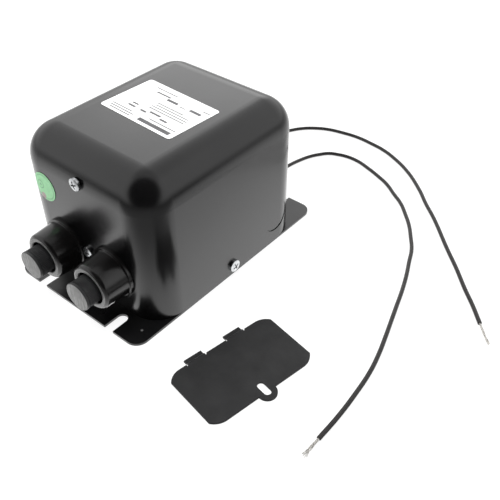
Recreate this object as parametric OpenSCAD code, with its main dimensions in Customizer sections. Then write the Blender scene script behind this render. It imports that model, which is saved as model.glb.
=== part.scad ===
// Ignition transformer in a drawn steel can on a flat base plate.
// Two high-voltage bushings face the front (-Y), the wiring compartment opens at the rear (+Y).
// The origin is the centre of the base plate's underside, +Z is up, and sizes are in millimetres.

/* [Housing] */
// width of the can across its flat sides, which is the base plate's width too
body_w = 108; // [98:1:130]
// length of the can from its front wall to its rear wall
body_l = 133; // [115:1:160]
// height of the can's top above the underside of the base plate
body_h = 97.5; // [82:0.5:120]
// outside radius of the can's upright corners and of its top edge
body_r = 20; // [12:0.5:21]
// thickness of the can's sheet
body_t = 1.2; // [0.8:0.1:1.6]

/* [Base plate] */
// length of the plate from front to rear
base_l = 168; // [160:1:200]
// thickness of the plate
base_t = 1.6; // [1.2:0.1:2.4]
// radius of the plate's corners
base_r = 8; // [2:0.5:12]
// distance between the two mounting slots of one end
slot_pitch = 60.4; // [54:0.2:70]
// width of a mounting slot
slot_w = 7; // [5:0.2:8]
// length of a mounting slot from the plate's edge to its round end
slot_l = 14; // [10:0.5:15]
// radius of the gauge hole in the front right corner
gauge_r = 0.8; // [0.6:0.1:1.5]
// height of the lugs that the side screws hold
lug_h = 11.5; // [10:0.5:14]
// width of a lug along the can's side
lug_w = 16; // [12:1:24]
// thickness of a lug
lug_t = 1.6; // [1.2:0.1:2]

/* [Bushings] */
// distance between the two bushings' axes
bush_pitch = 41; // [38:0.5:48]
// height of the bushings' axes above the plate's underside
bush_z = 28.2; // [24:0.2:32]
// radius of a bushing's tail, behind the front wall
bush_r = 12.7; // [11:0.1:14]
// radius of the shoulder that seats on the front wall
shoulder_r = 16.7; // [16.2:0.1:17.2]
// thickness of the shoulder
shoulder_t = 2.2; // [1:0.1:3]
// radius of the tapered sleeve where it leaves the wall
sleeve_r = 15.5; // [14.8:0.1:16]
// radius of the sleeve where its nose begins to round off
nose_r = 14.4; // [14:0.1:14.8]
// distance of that place from the front wall
nose_out = 16.4; // [14:0.1:17.2]
// radius of the flat rim around the mouth
rim_r = 13.4; // [12:0.1:13.8]
// distance of the rim from the front wall
lip_out = 18.2; // [18:0.1:22]
// inside radius of the mouth
mouth_r = 10.3; // [9.8:0.1:11.5]
// width of the bevel on the mouth's edge
mouth_bevel = 0.5; // [0.2:0.1:0.8]
// distance of the mouth's floor from the front wall
floor_out = 5.5; // [3:0.5:8]
// length of the tail behind the bushing board
tail_l = 16; // [8:0.5:20]

/* [Terminals] */
// radius of a terminal plug
plug_r = 8.9; // [7:0.1:9.6]
// length of the ribbed part of a plug
plug_l = 14; // [11:0.5:16]
// distance of a plug's end face from the front wall
plug_out = 27.3; // [25:0.1:30]
// depth of the ribs on a plug
rib_d = 0.35; // [0.2:0.05:0.6]
// number of ribs around a plug
rib_n = 54; // [30:1:60]
// radius of a contact stud
stud_r = 3; // [2:0.1:4]
// size of a stud's nut across its flats
nut_af = 10; // [9:0.5:12]
// thickness of a stud's nut
nut_t = 4; // [3:0.5:5]
// radius of a high-voltage lead
hv_r = 1.2; // [0.8:0.1:1.5]

/* [Bushing board] */
// distance from the can's side wall to the board that carries the bushings' tails
board_side = 10.8; // [8:0.2:14]
// distance of the board behind the front wall's sheet
board_gap = 3; // [2:0.5:5]
// height of the board
board_h = 40; // [38:0.5:44]
// thickness of the board
board_t = 5; // [4:0.5:8]

/* [Screws] */
// radius of a screw's head
head_r = 4; // [3.4:0.1:4.6]
// height of a screw's head
head_h = 2.3; // [1.8:0.1:3]
// radius of a screw's shank
shank_r = 1.7; // [1.4:0.05:2]
// distance of the earth screw below the can's top
earth_drop = 16.9; // [16:0.1:28]
// height of the board's screw above the plate's underside
board_screw_z = 32; // [22:0.2:38]
// height of the side screws above the plate's underside
side_z = 6.8; // [6.2:0.1:8]
// place of the side screws along the can
side_y = -0.5; // [-10:0.5:10]
// length of a side screw's shank
side_screw_l = 7; // [4:0.5:9]
// distance of the ground screw from the can's left side wall
ground_side = 16.8; // [10:0.1:24]

/* [Wiring compartment] */
// depth of the compartment from the rear wall's outside
comp_d = 37; // [36.6:0.1:40]
// height of the compartment's ceiling above the plate's underside
comp_h = 52; // [50:0.5:58]
// thickness of the partition's sheet
part_t = 1; // [0.8:0.1:1.5]
// width of the wiring opening in the rear wall
door_w = 60; // [50:1:62]
// height of the wiring opening
door_h = 31.5; // [28:0.5:32.5]
// radius of the wiring opening's corners
door_r = 6; // [2:0.5:10]
// radius of a knockout, for half-inch conduit fittings
knock_r = 11.1; // [10:0.1:11.5]
// width of the crescent gap beside a knockout's slug at its widest
knock_gap = 1.6; // [0.8:0.1:2.2]
// place of the knockouts along the can
knock_y = 42.1; // [41.8:0.1:44]
// height of the knockouts above the plate's underside
knock_z = 20.2; // [16:0.1:26]
// radius of a lead grommet's bore
grom_bore = 1.6; // [1.5:0.05:2]
// radius of a lead grommet's body in the partition
grom_r = 4; // [3:0.1:5]
// height of the grommets above the plate's underside
grom_z = 30; // [28:0.5:34]

/* [Cover plate] */
// height of the cover plate when it is fitted, which is its shorter side
cover_h = 41.7; // [40:0.1:46]
// width of the cover plate
cover_w = 71.6; // [68:0.1:78]
// thickness of the cover plate
cover_t = 1.2; // [0.8:0.1:1.6]
// radius of the cover plate's corners
cover_r = 10.8; // [6:0.2:12]
// distance by which the plate's ends cut into the corners' curves
cover_cut = 2.1; // [0:0.1:3]
// width of a hook tab
tab_w = 11.8; // [8:0.1:13]
// distance that a hook tab reaches past the plate's edge
tab_l = 4; // [3:0.1:5]
// distance between the middles of the two tabs
tab_pitch = 27.7; // [24:0.1:34]
// place of the middle of the tabs along the plate
tab_mid = -1.6; // [-3:0.1:3]
// radius of the ear that the cover's screw holds
ear_r = 5.7; // [4.8:0.1:6]
// width of the ear's slot
ear_slot_w = 4.5; // [3:0.1:4.8]
// length of the ear's slot
ear_slot_l = 9.5; // [7:0.1:10]
// place of the loose cover plate's middle, to the right
cover_x = 108.4; // [100:0.1:125]
// place of the loose cover plate's middle, to the rear
cover_y = -56.9; // [-70:0.1:-40]
// turn of the loose cover plate about the upright axis
cover_turn = -9.9; // [-20:0.1:10]

/* [Labels] */
// length of the rating label across the can
label_w = 59.4; // [40:0.2:66]
// width of the rating label
label_l = 40.4; // [30:0.2:60]
// thickness of the labels' foil
label_t = 0.2; // [0.1:0.05:0.3]
// turn of the rating label about the upright axis
label_turn = -2.6; // [-5:0.1:5]
// radius of the round inspection sticker
sticker_r = 9.3; // [7:0.1:11]
// distance of the sticker's middle to the left of the can's middle
sticker_x = 31.7; // [30:0.1:36]
// height of the sticker's middle above the plate's underside
sticker_z = 64.3; // [58:0.1:66]

/* [Core and coils] */
// gap between the core's upright legs and the can's side walls
core_side = 6.8; // [5:0.1:9]
// space under the secondary coils' formers
under_gap = 6.4; // [5:0.1:9]
// space over the primary coil's former
over_gap = 4.6; // [3:0.1:9]
// thickness of the magnetic shunt
shunt_t = 3.9; // [2:0.1:6]
// build of a secondary coil on its former, for each millimetre of the core's leg
sec_ratio = 0.625; // [0.4:0.005:0.8]
// build of the primary coil on its former, for each millimetre of the core's leg
pri_ratio = 0.44; // [0.3:0.005:0.6]
// gap between the primary coil's former and the core's upright legs
pri_side = 8; // [2:0.5:12]
// thickness of a former's tube and end flanges
former_t = 1.5; // [1:0.1:2]
// distance that a former's flanges stand proud of its coil
former_lip = 1.5; // [0.5:0.1:2]
// space between the secondary coils' formers and the partition, for the primary's wires
lead_room = 8.4; // [6:0.1:12]
// space between the studs' inner ends and the secondary coils' formers
hv_room = 3.8; // [2:0.1:8]
// thickness of the earth strap
strap_t = 1.2; // [0.8:0.1:1.6]
// width of the earth strap
strap_w = 8; // [6:0.5:10]
// radius of the primary's bare wire ends
tail_r = 0.7; // [0.4:0.05:1]

/* [Leads] */
// radius of a lead over its insulation
lead_r = 1.3; // [1:0.05:1.4]
// radius of a lead's bunch of strands
bunch_r = 0.8; // [0.5:0.05:1]
// radius of one strand
strand_r = 0.22; // [0.15:0.01:0.3]
// length of lead 1's bare strands
strands_l1 = 17; // [8:0.5:24]
// length of lead 2's bare strands
strands_l2 = 14; // [8:0.5:24]

/* [Clearances] */
// gap between round pieces that seat in each other
fit = 0.3; // [0.2:0.05:0.4]

/* [Hidden] */
$fn = 72;

BLACK = [0.05, 0.05, 0.055];
PLASTIC = [0.04, 0.04, 0.04];
ZINC = [0.72, 0.72, 0.7];
COPPER = [0.72, 0.4, 0.22];
BRASS = [0.75, 0.6, 0.3];
SHEET = [0.35, 0.36, 0.38];
BOARD = [0.45, 0.3, 0.16];

// walls of the can
front_y = -body_l / 2;
rear_y = body_l / 2;
in_front = front_y + body_t;
in_rear = rear_y - body_t;
in_side = body_w / 2 - body_t;
in_top = body_h - body_t;
earth_z = body_h - earth_drop;

// bushings and their board, with the distances that end in _out counted from the front wall outwards
bush_x = bush_pitch / 2;
board_w = 2 * (in_side - board_side);
board_front = in_front + board_gap;
board_back = board_front + board_t;
board_top = bush_z + board_h / 2;
tail_out = front_y - board_back - tail_l;
stud_head_t = 3;
stud_out = tail_out - stud_head_t - 1;

// partition, its compartment and the opening that the cover plate closes
part_y = rear_y - comp_d;
part_back = part_y + part_t;
ground_x = ground_side - in_side;
ground_z = 18;
cover_z = base_t + tab_l + 1.8 + cover_h / 2;
door_low = cover_z - door_h / 2 - 2;
ear_x = cover_h / 2;
ear_slot_x = ear_x - 2.4;
cover_hole_z = cover_z + ear_slot_x + 1.5;

// core and coils fill the height and the depth that the can leaves between the spaces named above
former_wall = fit + former_t + former_lip;
core_room = in_top - over_gap - base_t - under_gap - 4 * former_wall - shunt_t - 2 * fit;
leg_w = core_room / (2 + 2 * sec_ratio + 2 * pri_ratio);
sec_build = sec_ratio * leg_w;
pri_build = pri_ratio * leg_w;
winding_sec = former_wall + sec_build;
winding_pri = former_wall + pri_build;
window_h = winding_sec + winding_pri + shunt_t + 2 * fit;
coils_front = front_y - stud_out + hv_room;
coils_back = part_y - lead_room;
stack_d = coils_back - coils_front - 2 * winding_sec;
core_y = (coils_front + coils_back) / 2;
core_w = 2 * (in_side - core_side);
sec_half = leg_w / 2 + winding_sec;
pri_half = leg_w / 2 + winding_pri;
sec_deep = stack_d / 2 + winding_sec;
pri_deep = stack_d / 2 + winding_pri;
low_z = base_t + under_gap + sec_half;
up_z = low_z + leg_w + window_h;
sec_l = core_w / 2 - leg_w - 2 * fit;
sec_x = fit + sec_l / 2;
hv_x = min(bush_x, fit + sec_l - former_t - hv_r - fit);
pri_l = core_w - 2 * leg_w - 2 * pri_side;
shunt_low = low_z + sec_half + fit;
core_front = core_y - stack_d / 2;
strap_y = in_front + 1.2;
strap_z = shunt_low + shunt_t / 2;
tail_y = part_y - lead_room / 2;
tail_z = up_z - leg_w / 2 - 4;

// place of each lead's grommet, to the right of the middle
lead_xs = [-14, 4];

// routes of the two leads from their grommets to the ends of their insulation,
// counted from the foot of the rear wall
lead_z = 1.4;
route_1 = [for (p = [
    [lead_xs[0], -comp_d - 1.5, grom_z], [lead_xs[0], -28.5, grom_z],
    [-15, -18.5, 28], [-16, -8.5, 25], [-17, 1.5, 21],
    [-19, 12.5, 15.5], [-21, 23.5, 10], [-23, 34.5, 5.5], [-25, 45.5, 2.6], [-27, 57.5, lead_z],
    [-27, 70.5, lead_z], [-25, 82.5, lead_z], [-21, 91.5, lead_z], [-15, 100.5, lead_z], [-7, 107.5, lead_z],
    [2, 112.5, lead_z], [13, 115.5, lead_z], [27, 117.5, lead_z], [41, 116.5, lead_z], [53, 114.5, lead_z],
    [64, 110.5, lead_z], [81, 101.5, lead_z], [101, 85.5, lead_z], [113, 73.5, lead_z], [125, 62.5, lead_z],
    [148, 38.5, lead_z], [161, 25.5, lead_z], [174, 11.5, lead_z], [184, 1.5, lead_z], [194, -9.5, lead_z]
]) p + [0, rear_y, 0]];
route_2 = [for (p = [
    [lead_xs[1], -comp_d - 1.5, grom_z], [lead_xs[1], -28.5, grom_z],
    [4, -18.5, 27], [4, -8.5, 23], [5, 1.5, 18],
    [5, 11.5, 12], [6, 21.5, 7], [7, 31.5, 3], [8, 41.5, lead_z], [9, 51.5, lead_z],
    [11, 61.5, lead_z], [14, 70.5, lead_z], [18, 77.5, lead_z], [23, 83.5, lead_z], [29, 86.5, lead_z],
    [36, 88.5, lead_z], [46, 88.5, lead_z], [57, 85.5, lead_z], [68, 81.5, lead_z], [79, 76.5, lead_z],
    [89, 69.5, lead_z], [99, 62.5, lead_z], [108, 53.5, lead_z], [116, 44.5, lead_z], [123, 34.5, lead_z],
    [130, 23.5, lead_z], [135, 11.5, lead_z], [140, -0.5, lead_z], [145, -14.5, lead_z], [149, -27.5, lead_z],
    [153, -40.5, lead_z], [157, -53.5, lead_z], [161, -67.5, lead_z], [164, -81.5, lead_z], [166, -99.5, lead_z],
    [167, -116.5, lead_z], [167, -133.5, lead_z]
]) p + [0, rear_y, 0]];

// profile of a drawn edge: upright, then a quarter circle that turns into the top
module edge_profile(r, h) {
    square([r, h - r]);
    intersection() {
        translate([0, h - r]) circle(r);
        translate([0, h - r]) square(r);
    }
}

// box with round upright corners, a round top edge and ball corners between them
module drawn_box(w, l, h, r) {
    flat_w = w - 2 * r;
    flat_l = l - 2 * r;
    translate([-flat_w / 2, -flat_l / 2, 0]) cube([flat_w, flat_l, h]);
    for (side = [0, 1])
        mirror([side, 0, 0])
            translate([flat_w / 2, flat_l / 2, 0])
                rotate([90, 0, 0]) linear_extrude(flat_l) edge_profile(r, h);
    for (side = [0, 1])
        mirror([0, side, 0])
            translate([-flat_w / 2, flat_l / 2, 0])
                rotate([90, 0, 90]) linear_extrude(flat_w) edge_profile(r, h);
    for (sx = [0, 1])
        for (sy = [0, 1])
            mirror([sx, 0, 0])
                mirror([0, sy, 0])
                    translate([flat_w / 2, flat_l / 2, 0])
                        rotate_extrude(angle = 90) edge_profile(r, h);
}

// flat rectangle with round corners
module round_rect(w, l, r) {
    square([w - 2 * r, l], center = true);
    square([w, l - 2 * r], center = true);
    for (sx = [-1, 1])
        for (sy = [-1, 1])
            translate([sx * (w / 2 - r), sy * (l / 2 - r)]) circle(r);
}

// block about a middle point
module block(x, y, z, w, l, h) {
    translate([x - w / 2, y - l / 2, z - h / 2]) cube([w, l, h]);
}

// turns a child's +Z to point out of the front wall, from a point on it
module out_of_front(x, z) {
    translate([x, front_y, z]) rotate([90, 0, 0]) children();
}

// screw with a domed head and a cross recess, its head's underside at zero and its shank below
module pan_screw(length) {
    difference() {
        union() {
            rotate_extrude()
                intersection() {
                    translate([0, head_h - 3 * head_r]) circle(3 * head_r);
                    square([head_r, head_h]);
                }
            translate([0, 0, -length]) cylinder(r = shank_r, h = length + 0.2);
        }
        for (turn = [20, 110])
            rotate([0, 0, turn])
                translate([-head_r * 0.6, -0.45, head_h - 1.3]) cube([head_r * 1.2, 0.9, 2]);
    }
}

// side walls' knockout: its slug is sheared free along a crescent at the rear and below
module knockout_cut() {
    translate([in_side - 2.5, knock_y, knock_z])
        rotate([0, 90, 0])
            difference() {
                cylinder(r = knock_r, h = body_t + 3.5);
                rotate([0, 0, 39]) translate([-knock_gap, 0, -1]) cylinder(r = knock_r, h = body_t + 6);
            }
}

module side_screw_hole() {
    translate([0, side_y, side_z]) rotate([0, 90, 0]) cylinder(r = shank_r + fit, h = body_w);
}

// deep-drawn steel can, open at the bottom, with its bushing holes, wiring opening and knockouts
module housing() {
    color(BLACK) difference() {
        translate([0, 0, base_t]) drawn_box(body_w, body_l, body_h - base_t, body_r);
        translate([0, 0, -1]) drawn_box(body_w - 2 * body_t, body_l - 2 * body_t, in_top + 1, body_r - body_t);
        for (sx = [-1, 1])
            out_of_front(sx * bush_x, bush_z)
                translate([0, 0, -4]) cylinder(r = bush_r + fit, h = 8);
        for (z = [earth_z, board_screw_z])
            out_of_front(0, z) translate([0, 0, -4]) cylinder(r = shank_r + fit, h = 8);
        for (side = [0, 1])
            mirror([side, 0, 0]) {
                side_screw_hole();
                knockout_cut();
            }
        translate([0, rear_y + 2, door_low + door_h / 2])
            rotate([90, 0, 0]) linear_extrude(body_t + 4) round_rect(door_w, door_h, door_r);
        for (side = [-1, 1])
            block(-tab_mid + side * tab_pitch / 2, rear_y, cover_z - cover_h / 2 - 1.1, tab_w + 1.2, 8, 2.2);
        translate([0, rear_y + 2, cover_hole_z]) rotate([90, 0, 0]) cylinder(r = 1.5, h = 8);
    }
}

module mounting_slot() {
    end_y = base_l / 2 - slot_l + slot_w / 2;
    translate([slot_pitch / 2, end_y, -1]) cylinder(d = slot_w, h = base_t + 2);
    translate([slot_pitch / 2 - slot_w / 2, end_y, -1]) cube([slot_w, slot_l, base_t + 2]);
}

// flat plate with four open slots and two upturned lugs for the side screws
module base_plate() {
    lug_x = in_side - fit - lug_t;
    color(BLACK) difference() {
        union() {
            linear_extrude(base_t) round_rect(body_w, base_l, base_r);
            for (side = [0, 1])
                mirror([side, 0, 0])
                    translate([lug_x, side_y - lug_w / 2, base_t / 2]) cube([lug_t, lug_w, lug_h + base_t / 2]);
        }
        for (sx = [0, 1])
            for (sy = [0, 1])
                mirror([sx, 0, 0]) mirror([0, sy, 0]) mounting_slot();
        for (side = [0, 1])
            mirror([side, 0, 0]) side_screw_hole();
        translate([body_w / 2 - base_r, -base_l / 2 + 11.5, -1]) cylinder(r = gauge_r, h = base_t + 2);
    }
}

// moulded bushing: a tapered sleeve with a round nose, a shoulder that seats on the front wall,
// and a straight tail behind it
module hv_bushing(side) {
    shoulder_ease = 0.6;
    nose_mid = [(nose_r + rim_r) / 2 + 0.25, (nose_out + lip_out) / 2 + 0.35];
    color(PLASTIC) out_of_front(side * bush_x, bush_z)
        difference() {
            rotate_extrude() {
                translate([0, tail_out]) square([bush_r, 1 - tail_out]);
                polygon([[0, 0], [shoulder_r, 0], [shoulder_r, shoulder_t - shoulder_ease],
                    [shoulder_r - shoulder_ease, shoulder_t], [0, shoulder_t]]);
                polygon([[0, 0], [sleeve_r, 0], [nose_r, nose_out], nose_mid, [rim_r, lip_out], [0, lip_out]]);
            }
            translate([0, 0, floor_out]) cylinder(r = mouth_r, h = lip_out);
            translate([0, 0, lip_out - mouth_bevel])
                cylinder(r1 = mouth_r, r2 = mouth_r + 2 * mouth_bevel, h = 2 * mouth_bevel);
            translate([0, 0, tail_out - 1]) cylinder(r = stud_r + fit, h = lip_out - tail_out);
        }
}

// plug that screws over the stud: ribbed at the front, with a few ring grooves in the mouth
module terminal_plug(side) {
    root_z = floor_out + nut_t;
    rib_z = plug_out - plug_l;
    socket_z = plug_out - 4;
    color(PLASTIC) out_of_front(side * bush_x, bush_z)
        difference() {
            union() {
                translate([0, 0, rib_z])
                    linear_extrude(plug_l)
                        polygon([for (i = [0 : 2 * rib_n - 1])
                            (plug_r - (i % 2) * rib_d) * [cos(180 * i / rib_n), sin(180 * i / rib_n)]]);
                translate([0, 0, root_z]) cylinder(r = plug_r - 1.4, h = rib_z - root_z + 0.5);
                for (z = [root_z + 0.4 : 1.3 : rib_z - 0.9])
                    translate([0, 0, z]) cylinder(r = plug_r - 0.7, h = 0.7);
            }
            translate([0, 0, root_z - 1]) cylinder(r = stud_r + fit, h = socket_z - root_z + 1);
        }
}

module contact_stud(side) {
    tip_z = plug_out - 5;
    color(BRASS) out_of_front(side * bush_x, bush_z) {
        translate([0, 0, stud_out]) cylinder(r = stud_r, h = tip_z - stud_out);
        translate([0, 0, tail_out - stud_head_t]) cylinder(r = stud_r + 2, h = stud_head_t);
    }
}

module stud_nut(side) {
    color(BRASS) out_of_front(side * bush_x, bush_z)
        translate([0, 0, floor_out])
            difference() {
                cylinder(d = nut_af / cos(30), h = nut_t, $fn = 6);
                translate([0, 0, -1]) cylinder(r = stud_r + fit, h = nut_t + 2);
            }
}

// insulated wire from the stud's inner end to the front of a secondary coil
module hv_lead(side) {
    start_y = front_y - stud_out;
    coil_y = core_y - sec_deep + former_lip;
    color(PLASTIC) translate([side * hv_x, coil_y, bush_z])
        rotate([90, 0, 0]) cylinder(r = hv_r, h = coil_y - start_y);
}

// insulating board behind the front wall that carries the two tails, held by one screw,
// with a notch for the earth strap where its top edge reaches that high
module bushing_board() {
    color(BOARD) difference() {
        block(0, (board_front + board_back) / 2, bush_z, board_w, board_t, board_h);
        for (side = [-1, 1])
            out_of_front(side * bush_x, bush_z)
                translate([0, 0, tail_out]) cylinder(r = bush_r + fit, h = -tail_out);
        out_of_front(0, board_screw_z) translate([0, 0, tail_out]) cylinder(r = shank_r + fit, h = -tail_out);
        block(0, (board_front + board_back) / 2, strap_z - strap_t / 2 - fit + board_h / 2,
            strap_w + 2 * fit, board_t + 2, board_h);
    }
}

module board_screw() {
    color(ZINC) out_of_front(0, board_screw_z) pan_screw(body_t + board_gap + board_t);
}

module earth_screw() {
    color(ZINC) out_of_front(0, earth_z) pan_screw(body_t + strap_t + 5.6);
}

module earth_nut() {
    color(ZINC) difference() {
        block(0, strap_y + strap_t + 1.5, earth_z, 7, 3, 7);
        out_of_front(0, earth_z) translate([0, 0, -20]) cylinder(r = shank_r + fit, h = 24);
    }
}

// tinned strap that joins the secondaries' midpoint and the core to the can
module midpoint_strap() {
    strap_end = 3;
    color(ZINC) difference() {
        union() {
            block(0, strap_y + strap_t / 2, (strap_z + earth_z + strap_end) / 2, strap_w, strap_t,
                earth_z + strap_end - strap_z);
            block(0, (strap_y + core_front) / 2, strap_z, strap_w, core_front - strap_y, strap_t);
        }
        out_of_front(0, earth_z) translate([0, 0, -20]) cylinder(r = shank_r + fit, h = 24);
    }
}

module side_screw(side) {
    color(ZINC) translate([side * body_w / 2, side_y, side_z]) rotate([0, side * 90, 0]) pan_screw(side_screw_l);
}

// folded sheet between the potted space and the wiring compartment: wall, ceiling and foot
module wiring_partition() {
    color(SHEET) difference() {
        intersection() {
            union() {
                block(0, part_y + part_t / 2, (base_t + comp_h) / 2, body_w, part_t, comp_h - base_t);
                block(0, (part_y + rear_y) / 2, comp_h + part_t / 2, body_w, comp_d, part_t);
                block(0, part_y + 4, base_t + part_t / 2, body_w - 24, 8, part_t);
            }
            drawn_box(2 * (in_side - fit), 2 * (in_rear - fit), body_h, body_r - body_t - fit);
        }
        for (x = lead_xs)
            translate([x, part_y - 4, grom_z]) rotate([-90, 0, 0]) cylinder(r = grom_r + fit, h = 8);
        translate([ground_x, part_y - 4, ground_z]) rotate([-90, 0, 0]) cylinder(r = shank_r + fit, h = 8);
    }
}

// rubber bush that lines a lead's hole in the partition
module lead_grommet(i) {
    color(PLASTIC) translate([lead_xs[i], part_y, grom_z])
        rotate([-90, 0, 0])
            rotate_extrude()
                difference() {
                    union() {
                        translate([0, -1.5]) square([grom_r, part_t + 3]);
                        translate([0, -1.5]) square([grom_r + 1.8, 1.5]);
                        translate([0, part_t]) square([grom_r + 1.8, 1.5]);
                    }
                    translate([-1, -2]) square([grom_bore + 1, part_t + 6]);
                }
}

module ground_screw() {
    color([0.1, 0.35, 0.15]) translate([ground_x, part_back, ground_z]) rotate([-90, 0, 0]) pan_screw(6);
}

// U-shaped stack of steel sheets: the lower leg and the two upright legs
module core_lower() {
    leg_top = leg_w / 2 + window_h;
    color(SHEET) {
        block(0, core_y, low_z, core_w, stack_d, leg_w);
        for (side = [-1, 1])
            block(side * (core_w - leg_w) / 2, core_y, low_z + leg_top / 2, leg_w, stack_d, leg_top);
    }
}

module core_upper() {
    color(SHEET) block(0, core_y, up_z, core_w, stack_d, leg_w);
}

// short stack that bridges the window between the primary and the secondaries
module magnetic_shunt() {
    color(SHEET) block(0, core_y, shunt_low + shunt_t / 2, core_w - 2 * leg_w - 2 * fit, stack_d, shunt_t);
}

// tube around a core leg with a flange at each end
module former(x, z, length, build) {
    tube_w = stack_d + 2 * (fit + former_t);
    tube_h = leg_w + 2 * (fit + former_t);
    rim = 2 * (build + former_lip);
    difference() {
        union() {
            block(x, core_y, z, length, tube_w, tube_h);
            for (side = [-1, 1])
                block(x + side * (length - former_t) / 2, core_y, z, former_t, tube_w + rim, tube_h + rim);
        }
        block(x, core_y, z, length + 2, stack_d + 2 * fit, leg_w + 2 * fit);
    }
}

// winding between a former's flanges
module coil(x, z, length, build) {
    tube_w = stack_d + 2 * (fit + former_t);
    tube_h = leg_w + 2 * (fit + former_t);
    difference() {
        block(x, core_y, z, length - 2 * former_t, tube_w + 2 * build, tube_h + 2 * build);
        block(x, core_y, z, length, tube_w, tube_h);
    }
}

// bare end of the primary's wire, from the coil down to the lead at its grommet
module primary_tail(i) {
    coil_y = core_y + pri_deep - former_lip;
    x = lead_xs[i];
    end_y = part_y - 1.5;
    color(COPPER) {
        translate([x, coil_y, tail_z]) rotate([-90, 0, 0]) cylinder(r = tail_r, h = tail_y - coil_y);
        translate([x, tail_y, tail_z]) sphere(tail_r);
        translate([x, tail_y, grom_z]) cylinder(r = tail_r, h = tail_z - grom_z);
        translate([x, tail_y, grom_z]) sphere(tail_r);
        translate([x, tail_y, grom_z]) rotate([-90, 0, 0]) cylinder(r = tail_r, h = end_y - tail_y);
    }
}

// space of one coil and its former in the compound
module coil_space(x, z, length, half, deep) {
    block(x, core_y, z, length + 2 * fit, 2 * (deep + fit), 2 * (half + fit));
}

// compound that fills the can around the core and coils, clear of the wiring compartment
module potting_compound() {
    low = base_t + 5;
    side = in_side - fit;
    color([0.12, 0.1, 0.09]) difference() {
        intersection() {
            drawn_box(2 * side, 2 * (in_rear - fit), in_top - fit, body_r - body_t - fit);
            union() {
                translate([-side, board_back + fit, low]) cube([2 * side, part_y - board_back - 2 * fit, body_h]);
                translate([-side, front_y, board_top + fit]) cube([2 * side, part_y - front_y, body_h]);
                translate([-side, 0, comp_h + part_t + fit]) cube([2 * side, body_l, body_h]);
            }
        }
        block(0, core_y, (low_z + up_z) / 2, core_w + 2 * fit, stack_d + 2 * fit, up_z - low_z + leg_w + 2 * fit);
        for (sx = [-1, 1]) {
            coil_space(sx * sec_x, low_z, sec_l, sec_half, sec_deep);
            block(sx * in_side, side_y, lug_h / 2 + base_t, 2 * side_screw_l, lug_w + 2, lug_h + 2);
            out_of_front(sx * bush_x, bush_z) {
                translate([0, 0, tail_out - fit]) cylinder(r = bush_r + fit, h = -tail_out);
                translate([0, 0, stud_out - fit]) cylinder(r = stud_r + 2 + fit, h = -stud_out);
            }
            out_of_front(sx * hv_x, bush_z)
                translate([0, 0, stud_out - hv_room - 1]) cylinder(r = hv_r + fit, h = hv_room + 2);
        }
        coil_space(0, up_z, pri_l, pri_half, pri_deep);
        block(0, strap_y + 2.6, (strap_z + earth_z) / 2 + 3, strap_w + 2 * fit, 7.6, earth_z - strap_z + 8);
        block(0, (in_front + core_y) / 2, strap_z, strap_w + 2 * fit, core_y - in_front, strap_t + 2 * fit);
        for (x = lead_xs) {
            block(x, tail_y, (tail_z + grom_z) / 2, 3, 3, tail_z - grom_z + 3);
            block(x, (core_y + tail_y) / 2, tail_z, 3, tail_y - core_y, 3);
            block(x, part_y - 2, grom_z, 2 * grom_r + 5, 5, 2 * grom_r + 5);
        }
        block(ground_x, part_y - 3, ground_z, 6, 8, 6);
    }
}

// stamped cover of the wiring opening, in its own frame: tabs towards -X, ear towards +X
module cover_shape() {
    tab_drop = cover_t;
    relief = 1;
    difference() {
        union() {
            difference() {
                linear_extrude(cover_t)
                    intersection() {
                        round_rect(cover_h, cover_w + 2 * cover_cut, cover_r);
                        square([cover_h, cover_w], center = true);
                    }
                for (side = [-1, 1])
                    for (end = [-1, 1])
                        block(-cover_h / 2, tab_mid + side * tab_pitch / 2 + end * (tab_w + relief) / 2, 0,
                            2 * relief, relief, 4 * cover_t);
            }
            translate([ear_x, 0, 0]) cylinder(r = ear_r, h = cover_t);
            for (side = [-1, 1])
                translate([-cover_h / 2, tab_mid + side * tab_pitch / 2 - tab_w / 2, 0])
                    rotate([-90, 0, 0])
                        linear_extrude(tab_w)
                            polygon([[0.8, -cover_t], [-0.2, -cover_t], [-1.6, tab_drop - cover_t],
                                [-tab_l, tab_drop - cover_t], [-tab_l, tab_drop], [-2, tab_drop],
                                [-0.6, 0], [0.8, 0]]);
        }
        for (end = [-1, 1])
            translate([ear_slot_x + end * (ear_slot_l - ear_slot_w) / 2, 0, -1])
                cylinder(d = ear_slot_w, h = cover_t + 2);
        block(ear_slot_x, 0, 0, ear_slot_l - ear_slot_w, ear_slot_w, 4 * cover_t);
    }
}

// cover plate taken off and laid on the floor, resting on its tabs and its ear's tip
module cover_plate() {
    reach = ear_x + ear_r;
    tilt = atan(cover_t / (cover_h / 2 + tab_l + reach));
    color(BLACK) translate([cover_x, cover_y, 0])
        rotate([0, 0, cover_turn])
            translate([reach, 0, 0]) rotate([0, tilt, 0]) translate([-reach, 0, 0.02])
                cover_shape();
}

module rating_label() {
    color([0.93, 0.93, 0.92]) translate([-1.4, 0.2, body_h])
        rotate([0, 0, label_turn]) linear_extrude(label_t) round_rect(label_w, label_l, 2);
}

// round sticker on the front wall, whose left half follows the can's corner
module inspection_sticker() {
    lift = 0.1;
    out = lift + label_t;
    color([0.55, 0.8, 0.6]) intersection() {
        difference() {
            drawn_box(body_w + 2 * out, body_l + 2 * out, body_h + out, body_r + out);
            translate([0, 0, -1]) drawn_box(body_w + 2 * lift, body_l + 2 * lift, body_h + lift + 1, body_r + lift);
        }
        out_of_front(-sticker_x, sticker_z) translate([0, 0, -12]) cylinder(r = sticker_r, h = 20);
    }
}

function unit(v) = v / norm(v);

// direction of a route at its point i
function heading(route, i) =
    unit(route[min(i + 1, len(route) - 1)] - route[max(i - 1, 0)]);

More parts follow.
